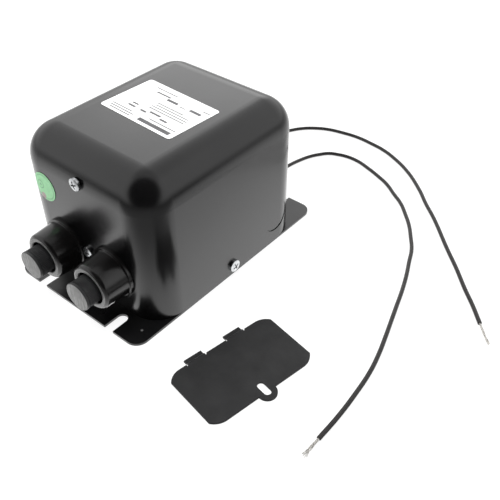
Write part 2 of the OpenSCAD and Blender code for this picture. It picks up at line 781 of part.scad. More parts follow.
// one ring of a swept tube, flat side down
function ring(p, t, r, sides) =
    let (n = unit(cross(t, [0, 0, 1])), v = cross(n, t))
    [for (k = [0 : sides - 1]) let (a = 360 * (k + 0.5) / sides) p + r * (cos(a) * n + sin(a) * v)];

// tube along a route, closed by a flat face at each end
module swept_tube(route, r, sides = 8) {
    count = len(route);
    points = [for (i = [0 : count - 1]) each ring(route[i], heading(route, i), r, sides)];
    skin = [for (i = [0 : count - 2], k = [0 : sides - 1])
        let (m = (k + 1) % sides, a = i * sides, b = a + sides) each [[a + k, b + m, a + m], [a + k, b + k, b + m]]];
    first = [for (k = [0 : sides - 1]) k];
    last = [for (k = [0 : sides - 1]) count * sides - 1 - k];
    polyhedron(points, concat([first], skin, [last]));
}

// tinned strands that fan out from the end of a lead's insulation
module bare_strands(route, length, spread) {
    end = len(route) - 1;
    t = unit(route[end] - route[end - 1]);
    color(ZINC) translate(route[end]) rotate([0, 0, atan2(t[1], t[0])]) rotate([0, 90, 0]) {
        cylinder(r = bunch_r, h = length * 0.35, $fn = 12);
        for (k = [-3 : 3])
            rotate([k * spread, 0, 0])
                translate([(k % 2) * bunch_r * 0.4, 0, 0.5])
                    cylinder(r = strand_r, h = length - 0.5 - abs(k) * 0.5, $fn = 6);
    }
}

housing();
base_plate();
bushing_board();
hv_bushing(-1);  // hv_bushing_left
hv_bushing(1);  // hv_bushing_right
terminal_plug(-1);  // terminal_plug_left
terminal_plug(1);  // terminal_plug_right
contact_stud(-1);  // contact_stud_left
contact_stud(1);  // contact_stud_right
stud_nut(-1);  // stud_nut_left
stud_nut(1);  // stud_nut_right
hv_lead(-1);  // hv_lead_left
hv_lead(1);  // hv_lead_right
earth_screw();
earth_nut();
midpoint_strap();
board_screw();
side_screw(-1);  // side_screw_left
side_screw(1);  // side_screw_right
wiring_partition();
lead_grommet(0);  // lead_grommet_1
lead_grommet(1);  // lead_grommet_2
ground_screw();
core_lower();
core_upper();
magnetic_shunt();
color(BOARD) former(0, up_z, pri_l, pri_build);  // primary_former
color(COPPER) coil(0, up_z, pri_l, pri_build);  // primary_coil
color(BOARD) former(-sec_x, low_z, sec_l, sec_build);  // secondary_former_left
color(BOARD) former(sec_x, low_z, sec_l, sec_build);  // secondary_former_right
color(COPPER) coil(-sec_x, low_z, sec_l, sec_build);  // secondary_coil_left
color(COPPER) coil(sec_x, low_z, sec_l, sec_build);  // secondary_coil_right
primary_tail(0);  // primary_tail_1
primary_tail(1);  // primary_tail_2
potting_compound();
cover_plate();
rating_label();
inspection_sticker();
color(PLASTIC) swept_tube(route_1, lead_r);  // lead_1
bare_strands(route_1, strands_l1, 1.6);  // lead_1_strands
color(PLASTIC) swept_tube(route_2, lead_r);  // lead_2
bare_strands(route_2, strands_l2, 3.5);  // lead_2_strands
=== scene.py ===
import math
import random

import bmesh
import bpy
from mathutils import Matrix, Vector


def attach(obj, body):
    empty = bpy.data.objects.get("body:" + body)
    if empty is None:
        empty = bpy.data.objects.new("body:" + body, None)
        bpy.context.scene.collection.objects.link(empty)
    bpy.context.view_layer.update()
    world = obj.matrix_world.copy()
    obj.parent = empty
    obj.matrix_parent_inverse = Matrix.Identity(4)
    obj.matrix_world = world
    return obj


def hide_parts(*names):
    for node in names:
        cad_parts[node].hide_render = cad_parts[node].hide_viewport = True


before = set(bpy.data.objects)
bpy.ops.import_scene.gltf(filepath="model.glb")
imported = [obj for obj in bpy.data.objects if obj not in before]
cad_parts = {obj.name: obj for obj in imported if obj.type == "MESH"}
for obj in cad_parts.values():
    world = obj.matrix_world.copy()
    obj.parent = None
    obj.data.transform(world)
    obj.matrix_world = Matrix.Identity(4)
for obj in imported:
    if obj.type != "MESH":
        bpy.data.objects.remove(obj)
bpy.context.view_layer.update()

# The view of the photograph: the front right corner from above, through a 50 mm lens.
camera = bpy.data.objects.new("camera", bpy.data.cameras.new("camera"))
camera.data.lens = 50.32
camera.data.sensor_width = 36
camera.data.clip_start = 0.01
camera.location = (0.26965, -0.24473, 0.30050)
camera.rotation_euler = (math.radians(90 - 40.822), 0, math.radians(39.624))
bpy.context.collection.objects.link(camera)
bpy.context.scene.camera = camera
bpy.context.scene.view_settings.view_transform = "Standard"

# Supply leads: two single stranded wires in black vinyl, 2.6 mm over the insulation. Each passes a
# grommet in the partition, leaves by the open wiring compartment and lies on the floor in one curve.
lead_r = 0.0013
lead_z = 0.0014
strand_r = 0.00017
strand_count = 14
inside_insulation = 0.002
route_1 = [
    (-0.014, 0.028, 0.03), (-0.014, 0.038, 0.03), (-0.015, 0.048, 0.028), (-0.016, 0.058, 0.025),
    (-0.017, 0.068, 0.021), (-0.019, 0.079, 0.0155), (-0.021, 0.09, 0.01), (-0.023, 0.101, 0.0055),
    (-0.025, 0.112, 0.0026), (-0.027, 0.124, lead_z), (-0.027, 0.137, lead_z), (-0.025, 0.149, lead_z),
    (-0.021, 0.158, lead_z), (-0.015, 0.167, lead_z), (-0.007, 0.174, lead_z), (0.002, 0.179, lead_z),
    (0.013, 0.182, lead_z), (0.027, 0.184, lead_z), (0.041, 0.183, lead_z), (0.053, 0.181, lead_z),
    (0.064, 0.177, lead_z), (0.081, 0.168, lead_z), (0.101, 0.152, lead_z), (0.113, 0.14, lead_z),
    (0.125, 0.129, lead_z), (0.148, 0.105, lead_z), (0.161, 0.092, lead_z), (0.174, 0.078, lead_z),
    (0.184, 0.068, lead_z), (0.194, 0.057, lead_z),
]
route_2 = [
    (0.004, 0.028, 0.03), (0.004, 0.038, 0.03), (0.004, 0.048, 0.027), (0.004, 0.058, 0.023),
    (0.005, 0.068, 0.018), (0.005, 0.078, 0.012), (0.006, 0.088, 0.007), (0.007, 0.098, 0.003),
    (0.008, 0.108, lead_z), (0.009, 0.118, lead_z), (0.011, 0.128, lead_z), (0.014, 0.137, lead_z),
    (0.018, 0.144, lead_z), (0.023, 0.15, lead_z), (0.029, 0.153, lead_z), (0.036, 0.155, lead_z),
    (0.046, 0.155, lead_z), (0.057, 0.152, lead_z), (0.068, 0.148, lead_z), (0.079, 0.143, lead_z),
    (0.089, 0.136, lead_z), (0.099, 0.129, lead_z), (0.108, 0.12, lead_z), (0.116, 0.111, lead_z),
    (0.123, 0.101, lead_z), (0.13, 0.09, lead_z), (0.135, 0.078, lead_z), (0.14, 0.066, lead_z),
    (0.145, 0.052, lead_z), (0.149, 0.039, lead_z), (0.153, 0.026, lead_z), (0.157, 0.013, lead_z),
    (0.161, -0.001, lead_z), (0.164, -0.015, lead_z), (0.166, -0.033, lead_z), (0.167, -0.05, lead_z),
    (0.167, -0.067, lead_z),
]


def socket(group, name, way, kind="NodeSocketFloat", value=None):
    """Adds one input or output to a node group."""
    made = group.interface.new_socket(name, in_out=way, socket_type=kind)
    if value is not None:
        made.default_value = value


def mottle_group():
    """Uneven finish: a soft noise over the surface, spread between a low and a high value."""
    group = bpy.data.node_groups.new("mottle", "ShaderNodeTree")
    for name, value in (("Scale", 100.0), ("Detail", 3.0), ("Low", 0.0), ("High", 1.0)):
        socket(group, name, "INPUT", value=value)
    socket(group, "Value", "OUTPUT")
    inputs = group.nodes.new("NodeGroupInput")
    place = group.nodes.new("ShaderNodeTexCoord")
    noise = group.nodes.new("ShaderNodeTexNoise")
    spread = group.nodes.new("ShaderNodeMapRange")
    outputs = group.nodes.new("NodeGroupOutput")
    spread.inputs["From Min"].default_value = 0.3
    spread.inputs["From Max"].default_value = 0.7
    group.links.new(place.outputs["Object"], noise.inputs["Vector"])
    group.links.new(inputs.outputs["Scale"], noise.inputs["Scale"])
    group.links.new(inputs.outputs["Detail"], noise.inputs["Detail"])
    group.links.new(noise.outputs["Fac"], spread.inputs["Value"])
    group.links.new(inputs.outputs["Low"], spread.inputs["To Min"])
    group.links.new(inputs.outputs["High"], spread.inputs["To Max"])
    group.links.new(spread.outputs["Result"], outputs.inputs["Value"])
    return group


mottle = mottle_group()


def grazes_group():
    """Fine straight grazes in one direction: a noise stretched along it, cut to thin lines."""
    group = bpy.data.node_groups.new("grazes", "ShaderNodeTree")
    socket(group, "Stretch", "INPUT", "NodeSocketVector", (1.0, 1.0, 1.0))
    socket(group, "Turn", "INPUT", "NodeSocketVector", (0.0, 0.0, 0.0))
    socket(group, "Scale", "INPUT", value=400.0)
    socket(group, "Cut", "INPUT", value=0.62)
    socket(group, "Lines", "OUTPUT")
    inputs = group.nodes.new("NodeGroupInput")
    place = group.nodes.new("ShaderNodeTexCoord")
    turned = group.nodes.new("ShaderNodeMapping")
    noise = group.nodes.new("ShaderNodeTexNoise")
    high = group.nodes.new("ShaderNodeMath")
    lines = group.nodes.new("ShaderNodeMapRange")
    outputs = group.nodes.new("NodeGroupOutput")
    noise.inputs["Detail"].default_value = 2.0
    high.operation = "ADD"
    high.inputs[1].default_value = 0.06
    group.links.new(place.outputs["Object"], turned.inputs["Vector"])
    group.links.new(inputs.outputs["Turn"], turned.inputs["Rotation"])
    group.links.new(inputs.outputs["Stretch"], turned.inputs["Scale"])
    group.links.new(turned.outputs["Vector"], noise.inputs["Vector"])
    group.links.new(inputs.outputs["Scale"], noise.inputs["Scale"])
    group.links.new(inputs.outputs["Cut"], high.inputs[0])
    group.links.new(noise.outputs["Fac"], lines.inputs["Value"])
    group.links.new(inputs.outputs["Cut"], lines.inputs["From Min"])
    group.links.new(high.outputs["Value"], lines.inputs["From Max"])
    group.links.new(lines.outputs["Result"], outputs.inputs["Lines"])
    return group


grazes = grazes_group()


class Finish:
    """One material: its shader, and the nodes that vary it over the surface."""

    def __init__(self, name, roughness=0.5, metallic=0.0, specular=0.5):
        self.material = bpy.data.materials.new(name)
        self.material.use_nodes = True
        self.nodes = self.material.node_tree.nodes
        self.links = self.material.node_tree.links
        self.shader = self.nodes["Principled BSDF"]
        self.shader.inputs["Roughness"].default_value = roughness
        self.shader.inputs["Metallic"].default_value = metallic
        self.shader.inputs["Specular IOR Level"].default_value = specular

    def uneven(self, scale, low, high, detail=3.0):
        """A value that wanders between low and high over the surface."""
        node = self.nodes.new("ShaderNodeGroup")
        node.node_tree = mottle
        for name, value in (("Scale", scale), ("Detail", detail), ("Low", low), ("High", high)):
            node.inputs[name].default_value = value
        return node.outputs["Value"]

    def grazed(self, stretch, scale, cut, turn=(0, 0, 0)):
        """A mask of fine grazes."""
        node = self.nodes.new("ShaderNodeGroup")
        node.node_tree = grazes
        node.inputs["Stretch"].default_value = stretch
        node.inputs["Turn"].default_value = turn
        node.inputs["Scale"].default_value = scale
        node.inputs["Cut"].default_value = cut
        return node.outputs["Lines"]

    def mix(self, mask, first, second):
        """The first colour where the mask is 0 and the second where it is 1."""
        node = self.nodes.new("ShaderNodeMix")
        node.data_type = "RGBA"
        self.links.new(mask, node.inputs["Factor"])
        for value, way in ((first, node.inputs[6]), (second, node.inputs[7])):
            if isinstance(value, tuple):
                way.default_value = (*value, 1.0)
            else:
                self.links.new(value, way)
        return node.outputs[2]

    def colour(self, value):
        self.links.new(value, self.shader.inputs["Base Color"])

    def rough(self, value):
        self.links.new(value, self.shader.inputs["Roughness"])

    def bump(self, height, strength, distance, under=None):
        """Raises the surface by height times distance; under is a bump or bevel below this one."""
        node = self.nodes.new("ShaderNodeBump")
        node.inputs["Strength"].default_value = strength
        node.inputs["Distance"].default_value = distance
        self.links.new(height, node.inputs["Height"])
        if under is not None:
            self.links.new(under, node.inputs["Normal"])
        self.links.new(node.outputs["Normal"], self.shader.inputs["Normal"])
        return node.outputs["Normal"]

    def eased(self, radius):
        """Edges that catch the light as if broken to the given radius."""
        node = self.nodes.new("ShaderNodeBevel")
        node.samples = 4
        node.inputs["Radius"].default_value = radius
        self.links.new(node.outputs["Normal"], self.shader.inputs["Normal"])
        return node.outputs["Normal"]


vinyl = Finish("vinyl_insulation", roughness=0.42, specular=0.4)
vinyl.colour(vinyl.mix(vinyl.uneven(260, 0, 1), (0.011, 0.010, 0.010), (0.021, 0.019, 0.018)))
vinyl.rough(vinyl.uneven(700, 0.34, 0.5))
vinyl.bump(vinyl.uneven(1500, 0, 1), 0.25, 0.00006)

tinned = Finish("tinned_strands", roughness=0.3, metallic=1.0)
tinned.colour(tinned.mix(tinned.uneven(900, 0, 1), (0.62, 0.60, 0.57), (0.86, 0.84, 0.80)))
tinned.rough(tinned.uneven(1600, 0.22, 0.42))


def wires(name, lines, radius, finish, resolution=5):
    """Round wires through lists of points, each one open Bezier spline of the same curve."""
    curve = bpy.data.curves.new(name, "CURVE")
    curve.dimensions = "3D"
    curve.bevel_depth = radius
    curve.bevel_resolution = resolution
    curve.resolution_u = 6
    curve.use_fill_caps = True
    for points in lines:
        spline = curve.splines.new("BEZIER")
        spline.bezier_points.add(len(points) - 1)
        for knot, point in zip(spline.bezier_points, points):
            knot.co = point
            knot.handle_left_type = knot.handle_right_type = "AUTO"
    curve.materials.append(finish.material)
    made = bpy.data.objects.new(name, curve)
    bpy.context.collection.objects.link(made)
    return made


def strand_lines(route, length, spread, count, seed):
    """Middle lines of the strands of a bare end: twisted at the insulation and fanned at the tip."""
    draw = random.Random(seed)
    start = Vector(route[-1])
    along = (start - Vector(route[-2])).normalized()
    across = along.cross(Vector((0, 0, 1))).normalized()
    lines = []
    for i in range(count):
        angle = 2 * math.pi * i / count
        ring = 0.00058 if i % 3 else 0.00022
        own = length * draw.uniform(0.84, 1.0)
        fan = spread * draw.uniform(-1, 1)
        line = []
        for k in range(8):
            part = k / 7
            turn = angle + 1.5 * math.pi * part
            ease = part * part
            side = ring * math.cos(turn) * (1 - 0.4 * ease) + fan * ease * own
            rise = ring * math.sin(turn) * (1 - 0.7 * ease)
            reach = own * part - (inside_insulation if k == 0 else 0)
            above_floor = max(rise, 0.0003 - lead_z)
            line.append(start + along * reach + across * side + Vector((0, 0, above_floor)))
        lines.append(line)
    return lines


for name, route, bare, spread, seed in (("lead_1", route_1, 0.0168, 0.05, 3), ("lead_2", route_2, 0.0138, 0.13, 8)):
    lead = wires(name + "_vinyl", [route], lead_r, vinyl, resolution=6)
    strands = wires(name + "_bare_end", strand_lines(route, bare, spread, strand_count, seed), strand_r, tinned,
                    resolution=1)
    for piece, node, slot in ((lead, name, "lead_insulation"), (strands, name + "_strands", "tinned_wire")):
        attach(piece, "root")
        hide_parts(node)

# Housing: one deep-drawn steel cup with ball corners, sprayed in black gloss enamel. The bushing
# holes, the wiring opening and the knockouts are punched before it is painted.


def wear(node, finish):
    """Gives a CAD node its finish."""
    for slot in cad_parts[node].material_slots:
        slot.material = finish.material


enamel = Finish("black_gloss_enamel", roughness=0.22, specular=0.5)
enamel.colour(enamel.mix(enamel.uneven(45, 0, 1), (0.002, 0.002, 0.0022), (0.0042, 0.004, 0.0043)))
enamel.rough(enamel.uneven(28, 0.18, 0.26))
enamel.bump(enamel.uneven(420, 0, 1), 0.1, 0.00005, under=enamel.eased(0.0004))
wear("housing", enamel)

# Base plate: a blanked steel plate with four open slots, painted in the same black.
plate_enamel = Finish("black_plate_enamel", roughness=0.3, specular=0.5)
plate_enamel.colour(plate_enamel.mix(plate_enamel.uneven(60, 0, 1), (0.004, 0.004, 0.0045), (0.008, 0.008, 0.008)))
plate_enamel.rough(plate_enamel.uneven(40, 0.26, 0.36))
plate_enamel.bump(plate_enamel.uneven(500, 0, 1), 0.15, 0.00005, under=plate_enamel.eased(0.0003))
wear("base_plate", plate_enamel)

# Bushings: two black phenolic mouldings. Each sleeve tapers to a round nose, a shoulder seats it on
# the front wall, and its bore takes the stud. The nose is glossy, and the rim round the mouth is painted grey as a
# painted highlight.
front_y = -0.0665
bushing_x = 0.0205
bushing_z = 0.0282
bushing_profile = [
    (-25.2, 12.7), (0, 12.7), (0, 16.7), (2.2, 16.7), (2.2, 15.4), (2.8, 15.36), (15.6, 14.48), (18.2, 14.3),
    (18.2, 10.3), (17.0, 10.3), (5.5, 10.3), (5.5, 3.3), (-25.2, 3.3),
]


def shape(add, **settings):
    """A new primitive with its place in its mesh, open in edit mode and selected all over."""
    bpy.ops.object.select_all(action="DESELECT")
    add(**settings)
    bpy.ops.object.transform_apply(location=True, rotation=True, scale=True)
    bpy.ops.object.mode_set(mode="EDIT")
    return bpy.context.object


def pick(kind, wanted):
    """Selects the edges whose two ends, or the faces whose middle and normal, are the wanted ones."""
    bpy.ops.mesh.select_mode(type=kind)
    bpy.ops.mesh.select_all(action="DESELECT")
    mesh = bmesh.from_edit_mesh(bpy.context.edit_object.data)
    for item in list(mesh.edges if kind == "EDGE" else mesh.faces):
        if kind == "EDGE":
            item.select_set(wanted(item.verts[0].co, item.verts[1].co))
        else:
            item.select_set(wanted(item.calc_center_median(), item.normal))
    bmesh.update_edit_mesh(bpy.context.edit_object.data)


def out_at(point):
    """A point's distance out from the front wall, in millimetres."""
    return (front_y - point.y) * 1000


def radius_at(point):
    """A point's distance from the right bushing's axis, in millimetres."""
    return math.hypot(point.x - bushing_x, point.z - bushing_z) * 1000


def turned(profile, sides, hollow):
    """A turned piece about the right bushing's axis: a ring is drawn out along the profile, given as
    distances from the front wall and radii in millimetres. A hollow piece has its last ring joined
    to its first, and another one has both closed by flat faces."""
    out, radius = profile[0]
    piece = shape(bpy.ops.mesh.primitive_circle_add, vertices=sides, radius=radius / 1000,
                  location=(bushing_x, front_y - out / 1000, bushing_z), rotation=(math.pi / 2, 0, 0))
    bpy.ops.mesh.select_mode(type="EDGE")
    bpy.ops.mesh.select_all(action="SELECT")
    for next_out, next_radius in profile[1:]:
        share = next_radius / radius
        bpy.ops.mesh.extrude_region_move(TRANSFORM_OT_translate={"value": (0, (out - next_out) / 1000, 0)})
        bpy.ops.transform.resize(value=(share, 1, share),
                                 center_override=(bushing_x, front_y - next_out / 1000, bushing_z))
        out, radius = next_out, next_radius
    bpy.ops.mesh.select_all(action="DESELECT")
    bpy.ops.mesh.select_non_manifold()
    if hollow:
        bpy.ops.mesh.bridge_edge_loops()
    else:
        bpy.ops.mesh.fill_holes(sides=0)
    bpy.ops.mesh.select_all(action="SELECT")
    bpy.ops.mesh.normals_make_consistent(inside=False)
    return piece


def round_ring(out, radius, width, segments):
    """Rounds off one sharp ring of a turned piece."""
    pick("EDGE", lambda a, b: all(abs(out_at(end) - out) < 0.01 and abs(radius_at(end) - radius) < 0.02
                                  for end in (a, b)))
    bpy.ops.mesh.bevel(offset=width / 1000, segments=segments, affect="EDGES")


def close(piece, name, nodes, smooth=35):
    """Ends the shaping of a piece: it gets its name and body, and its CAD nodes are hidden."""
    bpy.ops.object.mode_set(mode="OBJECT")
    bpy.ops.object.shade_smooth_by_angle(angle=math.radians(smooth))
    piece.name = piece.data.name = name
    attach(piece, "root")
    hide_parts(*nodes)


def moved_copy(piece, by):
    """A copy with its own mesh, moved over; its place stays in its mesh."""
    bpy.ops.object.select_all(action="DESELECT")
    piece.select_set(True)
    bpy.context.view_layer.objects.active = piece
    bpy.ops.object.duplicate(linked=False)
    bpy.ops.transform.translate(value=by)
    bpy.ops.object.transform_apply(location=True, rotation=True, scale=True)
    return bpy.context.object


phenolic = Finish("phenolic_moulding", roughness=0.2, specular=0.45)
phenolic.colour(phenolic.mix(phenolic.uneven(120, 0, 1), (0.0042, 0.004, 0.004), (0.0075, 0.007, 0.007)))
phenolic.rough(phenolic.uneven(80, 0.14, 0.24))
phenolic.bump(phenolic.uneven(900, 0, 1), 0.08, 0.00004)

# Painted highlight: the flat rim and the lip of each bushing's mouth are painted light grey to stand in for the
# light they catch.
rim_highlight_paint = Finish("painted_rim_highlight", roughness=0.4, specular=0.5)
rim_highlight_paint.colour(rim_highlight_paint.mix(rim_highlight_paint.uneven(500, 0, 1), (0.12, 0.12, 0.12), (0.19, 0.19, 0.187)))
rim_highlight_paint.rough(rim_highlight_paint.uneven(900, 0.32, 0.5))
rim_highlight_paint.bump(rim_highlight_paint.uneven(2200, 0, 1), 0.2, 0.00005)

bushing = turned(bushing_profile, 96, hollow=True)
bushing.data.materials.append(phenolic.material)
bushing.data.materials.append(rim_highlight_paint.material)
round_ring(18.2, 14.3, 2.2, 7)
round_ring(18.2, 10.3, 0.5, 3)
round_ring(2.2, 16.7, 0.25, 2)
round_ring(2.2, 15.4, 0.4, 2)
# The faces round the mouth get the painted highlight grey.
pick("FACE", lambda middle, normal: out_at(middle) > 17.1 and radius_at(middle) < 12.4)
bushing.active_material_index = 1
bpy.ops.object.material_slot_assign()
close(bushing, "bushing_right", ["hv_bushing_right"])
twin = moved_copy(bushing, (-2 * bushing_x, 0, 0))
close(twin, "bushing_left", ["hv_bushing_left"])

# Terminal plugs: screw caps over the contact studs, moulded in matt black. Each has a ribbed grip,
# ring grooves in the bushing's mouth, and an end face that was ground flat and pale.
plug_profile = [
    (23.3, 3.3), (9.5, 3.3), (9.5, 7.5), (9.9, 7.5), (9.9, 8.2), (10.6, 8.2), (10.6, 7.5), (11.2, 7.5),
    (11.2, 8.2), (11.9, 8.2), (11.9, 7.5), (13.3, 7.5), (13.3, 8.8), (25.4, 8.8), (25.4, 8.45),
    (25.8, 8.45), (25.8, 8.9), (27.3, 8.9),
]

plug_matt = Finish("plug_moulding", roughness=0.55, specular=0.4)
plug_matt.colour(plug_matt.mix(plug_matt.uneven(300, 0, 1), (0.013, 0.013, 0.014), (0.028, 0.028, 0.029)))
plug_matt.rough(plug_matt.uneven(500, 0.42, 0.62))
plug_matt.bump(plug_matt.uneven(1800, 0, 1), 0.2, 0.00005)

ground_face = Finish("ground_end_face", roughness=0.5, specular=0.5)
scuffs = ground_face.grazed((1, 1, 0.05), 1400, 0.56, turn=(0, 0.7, 0))
ground_face.colour(ground_face.mix(scuffs, ground_face.mix(ground_face.uneven(260, 0, 1), (0.14, 0.14, 0.138),
                                                           (0.19, 0.19, 0.187)), (0.27, 0.27, 0.265)))
ground_face.rough(ground_face.uneven(800, 0.4, 0.6))
ground_face.bump(scuffs, 0.3, 0.00005)

plug_sides = 108
plug = turned(plug_profile, plug_sides, hollow=False)
plug.data.materials.append(plug_matt.material)
plug.data.materials.append(ground_face.material)
round_ring(27.3, 8.9, 0.35, 3)
pick("FACE", lambda middle, normal: out_at(middle) > 27.2 and normal.y < -0.99)
plug.active_material_index = 1
bpy.ops.object.material_slot_assign()


def is_groove(middle, normal):
    """Every second face of the grip."""
    turn = math.atan2(middle.z - bushing_z, middle.x - bushing_x) % (2 * math.pi)
    on_grip = 13.4 < out_at(middle) < 25.3 and radius_at(middle) > 8.7
    return on_grip and int(turn / (2 * math.pi) * plug_sides) % 2 == 0


pick("FACE", is_groove)
bpy.ops.mesh.inset(thickness=0.0001, depth=-0.00035, use_individual=True)
close(plug, "plug_right", ["terminal_plug_right"])
twin = moved_copy(plug, (-2 * bushing_x, 0, 0))
close(twin, "plug_left", ["terminal_plug_left"])

# Studs and nuts: turned brass, dulled.
brass = Finish("dull_brass", roughness=0.32, metallic=1.0)
brass.colour(brass.mix(brass.uneven(300, 0, 1), (0.45, 0.30, 0.10), (0.70, 0.50, 0.22)))
brass.rough(brass.uneven(600, 0.25, 0.45))
for node in ("contact_stud_left", "contact_stud_right", "stud_nut_left", "stud_nut_right"):
    wear(node, brass)

# Screws and the earth strap: bright zinc plate.
zinc = Finish("bright_zinc", roughness=0.25, metallic=1.0)
zinc.colour(zinc.mix(zinc.uneven(500, 0, 1), (0.34, 0.35, 0.36), (0.58, 0.59, 0.60)))
zinc.rough(zinc.uneven(900, 0.18, 0.36))
zinc.bump(zinc.uneven(1500, 0, 1), 0.2, 0.00004, under=zinc.eased(0.0003))
for node in ("earth_screw", "earth_nut", "midpoint_strap", "board_screw", "side_screw_left", "side_screw_right"):
    wear(node, zinc)

green = Finish("green_ground_plate", roughness=0.3, metallic=0.6)
green.colour(green.mix(green.uneven(500, 0, 1), (0.03, 0.16, 0.05), (0.06, 0.26, 0.09)))
wear("ground_screw", green)

# Wiring partition: folded zinc-coated sheet, with two rubber grommets.
spangle = Finish("zinc_coated_sheet", roughness=0.42, metallic=0.9)
spangle.colour(spangle.mix(spangle.uneven(160, 0, 1), (0.30, 0.31, 0.32), (0.48, 0.49, 0.50)))
spangle.rough(spangle.uneven(220, 0.34, 0.52))
wear("wiring_partition", spangle)

rubber = Finish("grommet_rubber", roughness=0.6, specular=0.35)
rubber.colour(rubber.mix(rubber.uneven(400, 0, 1), (0.012, 0.012, 0.012), (0.024, 0.024, 0.024)))
for node in ("lead_grommet_1", "lead_grommet_2"):
    wear(node, rubber)

# Board behind the flanges and the coils' formers: pressed fibre board.
fibre = Finish("pressed_fibre_board", roughness=0.75)
fibre.colour(fibre.mix(fibre.uneven(260, 0, 1), (0.16, 0.08, 0.035), (0.30, 0.17, 0.08)))
for node in ("bushing_board", "primary_former", "secondary_former_left", "secondary_former_right"):
    wear(node, fibre)

# Core, shunt and windings, sealed in the compound.
steel = Finish("core_steel", roughness=0.45, metallic=0.8)
steel.colour(steel.mix(steel.grazed((0.02, 1, 0.02), 3000, 0.5), (0.07, 0.07, 0.075), (0.2, 0.2, 0.21)))
for node in ("core_lower", "core_upper", "magnetic_shunt"):
    wear(node, steel)

winding = Finish("enamelled_winding", roughness=0.35, metallic=0.7)
winding.colour(winding.mix(winding.grazed((1, 0.02, 0.02), 2500, 0.5), (0.25, 0.07, 0.03), (0.55, 0.2, 0.08)))
for node in ("primary_coil", "secondary_coil_left", "secondary_coil_right", "primary_tail_1", "primary_tail_2"):
    wear(node, winding)

silicone = Finish("wire_sleeving", roughness=0.45)
silicone.colour(silicone.mix(silicone.uneven(500, 0, 1), (0.3, 0.05, 0.04), (0.42, 0.08, 0.06)))
for node in ("hv_lead_left", "hv_lead_right"):
    wear(node, silicone)

tar = Finish("filling_compound", roughness=0.55, specular=0.4)
tar.colour(tar.mix(tar.uneven(220, 0, 1, detail=6), (0.010, 0.009, 0.008), (0.030, 0.026, 0.022)))
tar.bump(tar.uneven(160, 0, 1, detail=6), 0.5, 0.0004)
wear("potting_compound", tar)

# Rating label: white foil, printed in grey. The print is left as plain bars and blocks.
label_middle = (-0.0014, 0.0002, 0.0975)
label_turn = math.radians(-2.6)
label_bars = [
    (13.0, -16.4, 26.0, 3.0), (-15.0, -17.6, 18.0, 0.8), (-15.0, -15.6, 20.0, 0.8), (-17.0, -13.6, 17.0, 0.8),
    (16.0, -12.6, 22.0, 0.8), (-14.0, -9.0, 6.0, 1.6), (-4.0, -9.0, 5.0, 1.6), (4.0, -7.0, 9.0, 1.6),
    (13.0, -9.0, 6.0, 1.6), (-14.0, -6.0, 5.0, 1.4), (9.5, -3.6, 29.0, 0.8), (9.5, -1.4, 29.0, 0.8),
    (9.5, 0.8, 27.0, 0.8), (6.0, 3.0, 22.0, 0.8), (1.0, 9.4, 9.0, 2.2), (20.0, 9.4, 9.0, 2.2),
    (10.5, 8.4, 5.0, 0.8), (-9.0, 11.8, 12.0, 1.3), (-10.0, 15.6, 18.0, 0.8), (25.0, 13.4, 6.0, 0.8),
]


def printed_bar_group():
    """A straight-edged bar on a flat top face: 1 inside it and 0 outside."""
    group = bpy.data.node_groups.new("printed_bar", "ShaderNodeTree")
    socket(group, "Middle", "INPUT", "NodeSocketVector", (0.0, 0.0, 0.0))
    socket(group, "Turn", "INPUT", value=0.0)
    socket(group, "Offset", "INPUT", "NodeSocketVector", (0.0, 0.0, 0.0))
    socket(group, "Half Size", "INPUT", "NodeSocketVector", (0.01, 0.001, 1.0))
    socket(group, "Mask", "OUTPUT")
    inputs = group.nodes.new("NodeGroupInput")
    place = group.nodes.new("ShaderNodeTexCoord")
    turned_place = group.nodes.new("ShaderNodeVectorRotate")
    turned_place.rotation_type = "Z_AXIS"
    steps = [group.nodes.new("ShaderNodeVectorMath") for _ in range(3)]
    for step, operation in zip(steps, ("SUBTRACT", "ABSOLUTE", "SUBTRACT")):
        step.operation = operation
    split = group.nodes.new("ShaderNodeSeparateXYZ")
    least = group.nodes.new("ShaderNodeMath")
    least.operation = "MINIMUM"
    edge = group.nodes.new("ShaderNodeMapRange")
    edge.inputs["From Min"].default_value = -0.00006
    edge.inputs["From Max"].default_value = 0.00006
    outputs = group.nodes.new("NodeGroupOutput")
    group.links.new(place.outputs["Object"], turned_place.inputs["Vector"])
    group.links.new(inputs.outputs["Middle"], turned_place.inputs["Center"])
    group.links.new(inputs.outputs["Turn"], turned_place.inputs["Angle"])
    group.links.new(turned_place.outputs["Vector"], steps[0].inputs[0])
    group.links.new(inputs.outputs["Offset"], steps[0].inputs[1])
    group.links.new(steps[0].outputs["Vector"], steps[1].inputs[0])
    group.links.new(inputs.outputs["Half Size"], steps[2].inputs[0])
    group.links.new(steps[1].outputs["Vector"], steps[2].inputs[1])
    group.links.new(steps[2].outputs["Vector"], split.inputs["Vector"])
    group.links.new(split.outputs["X"], least.inputs[0])
    group.links.new(split.outputs["Y"], least.inputs[1])
    group.links.new(least.outputs["Value"], edge.inputs["Value"])
    group.links.new(edge.outputs["Result"], outputs.inputs["Mask"])
    return group


